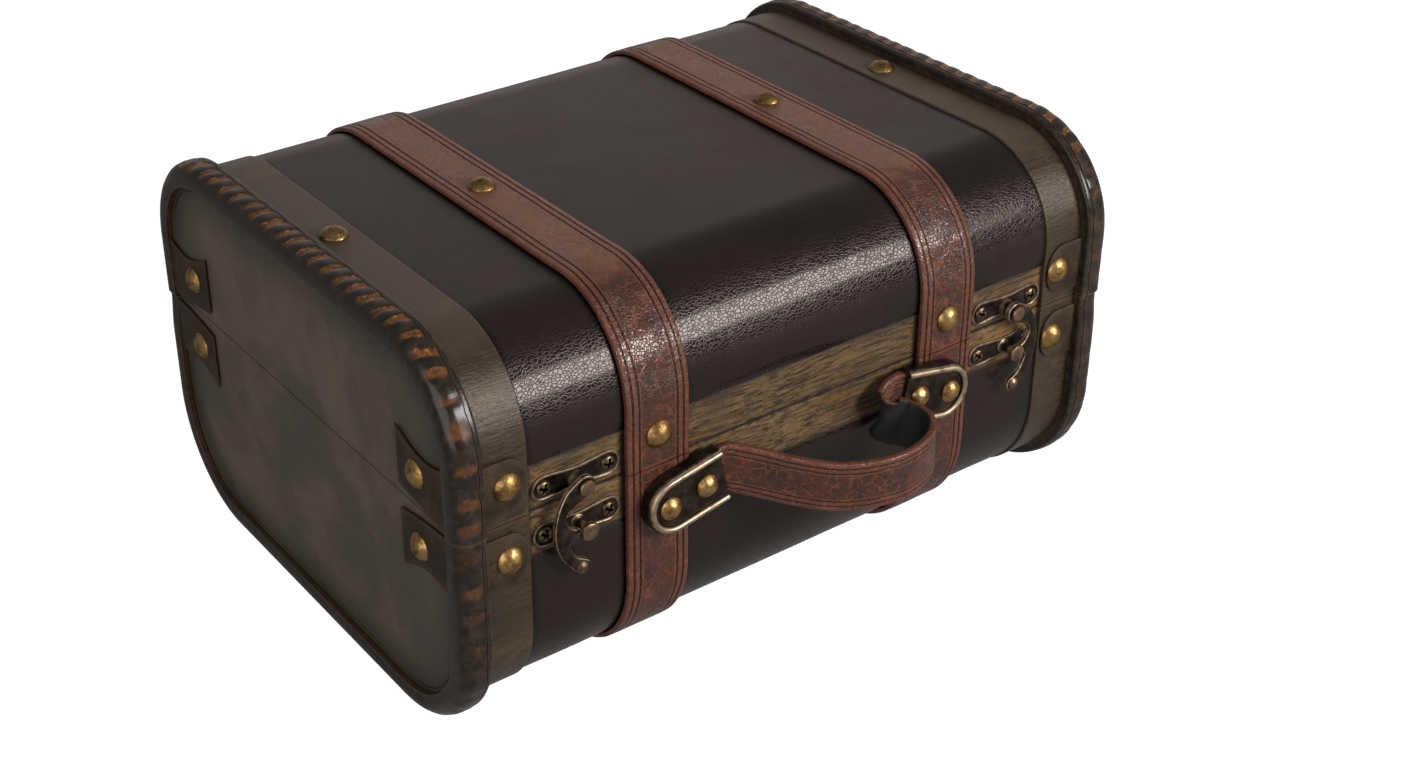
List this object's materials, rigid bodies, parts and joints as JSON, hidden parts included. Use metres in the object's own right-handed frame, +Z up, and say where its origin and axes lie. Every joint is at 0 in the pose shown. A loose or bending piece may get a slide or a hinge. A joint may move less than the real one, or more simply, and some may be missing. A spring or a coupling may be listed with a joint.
{
  "type": "wooden suitcase box",
  "caption": "Small wooden suitcase-shaped keepsake box: hinged lid, rounded leather-covered walls, burnt rim mouldings, leather straps, swing hook latches and slack leather handle.",
  "frame": {"origin": "under the middle of the whole part, handle included, on the plane that the box stands on", "axes": "+X along the box's length (to the viewer's right when the latches face the viewer), -Y out of the front with latches and handle, +Z up, out of the lid's top"},
  "size_m": [0.2736, 0.2325, 0.1435],
  "materials": {
    "dark_board": "dark grey-brown stain, satin, faint grain along the depth",
    "golden_rail": "golden olive stain with dark grain flecks, satin",
    "brushed_band": "olive-brown, brushed lengthwise, satin",
    "burnt_rim": "dark varnish with amber burnt stripes, glossy",
    "black_cover": "very dark brown, fine grain, semi-gloss",
    "tab_leather": "very dark brown, worn edges",
    "brown_strap": "reddish brown, creased, double stitched",
    "plywood": "bare bent plywood",
    "lining_cloth": "dark red-brown flocked cloth, matte",
    "brass": "aged bright brass, pitted",
    "bronze": "dark antique bronze with bright worn edges"
  },
  "bodies": {
    "base": {"base_end_left": "dark_board", "base_end_right": "dark_board", "base_front_rail": "golden_rail", "base_back_rail": "golden_rail", "base_shell": "plywood", "base_cover": "black_cover", "base_lining": "lining_cloth", "base_rim_left": "burnt_rim", "base_rim_right": "burnt_rim", "base_band_left": "brushed_band", "base_band_right": "brushed_band", "base_strap_left": "brown_strap", "base_strap_right": "brown_strap", "base_tab_front_left": "tab_leather", "base_tab_front_right": "tab_leather", "base_tab_back_left": "tab_leather", "base_tab_back_right": "tab_leather", "base_hinge_leaf_left": "bronze", "base_hinge_leaf_right": "bronze", "hinge_pin_left": "bronze", "hinge_pin_right": "bronze", "latch_keeper_left": "bronze", "latch_keeper_right": "bronze", "handle_strap": "brown_strap", "handle_plate_left": "bronze", "handle_plate_right": "bronze", "handle_rivet_left_outer": "brass", "handle_rivet_left_inner": "brass", "handle_rivet_right_outer": "brass", "handle_rivet_right_inner": "brass"},
    "lid": {"lid_end_left": "dark_board", "lid_end_right": "dark_board", "lid_front_rail": "golden_rail", "lid_back_rail": "golden_rail", "lid_shell": "plywood", "lid_cover": "black_cover", "lid_lining": "lining_cloth", "lid_rim_left": "burnt_rim", "lid_rim_right": "burnt_rim", "lid_band_left": "brushed_band", "lid_band_right": "brushed_band", "lid_strap_left": "brown_strap", "lid_strap_right": "brown_strap", "lid_tab_front_left": "tab_leather", "lid_tab_front_right": "tab_leather", "lid_tab_back_left": "tab_leather", "lid_tab_back_right": "tab_leather", "lid_hinge_leaf_left": "bronze", "lid_hinge_leaf_right": "bronze", "latch_plate_left": "bronze", "latch_plate_right": "bronze", "band_stud_left": "brass", "strap_stud_top_left": "brass", "strap_stud_front_left": "brass", "band_stud_right": "brass", "strap_stud_top_right": "brass", "strap_stud_front_right": "brass"},
    "latch_hook_left": {"latch_hook_left": "bronze"},
    "latch_hook_right": {"latch_hook_right": "bronze"}
  },
  "joints": [
    {"name": "lid_hinge", "type": "hinge", "parent": "base", "child": "lid", "pos_m": [0, 0.11237, 0.0826], "axis": [-1, 0, 0], "range_deg": [0, 100]},
    {"name": "latch_hook_left_swing", "type": "hinge", "parent": "lid", "child": "latch_hook_left", "pos_m": [-0.0903, -0.08423, 0.088], "axis": [0, 1, 0], "range_deg": [0, 34]},
    {"name": "latch_hook_right_swing", "type": "hinge", "parent": "lid", "child": "latch_hook_right", "pos_m": [0.0903, -0.08423, 0.088], "axis": [0, -1, 0], "range_deg": [0, 34]}
  ]
}
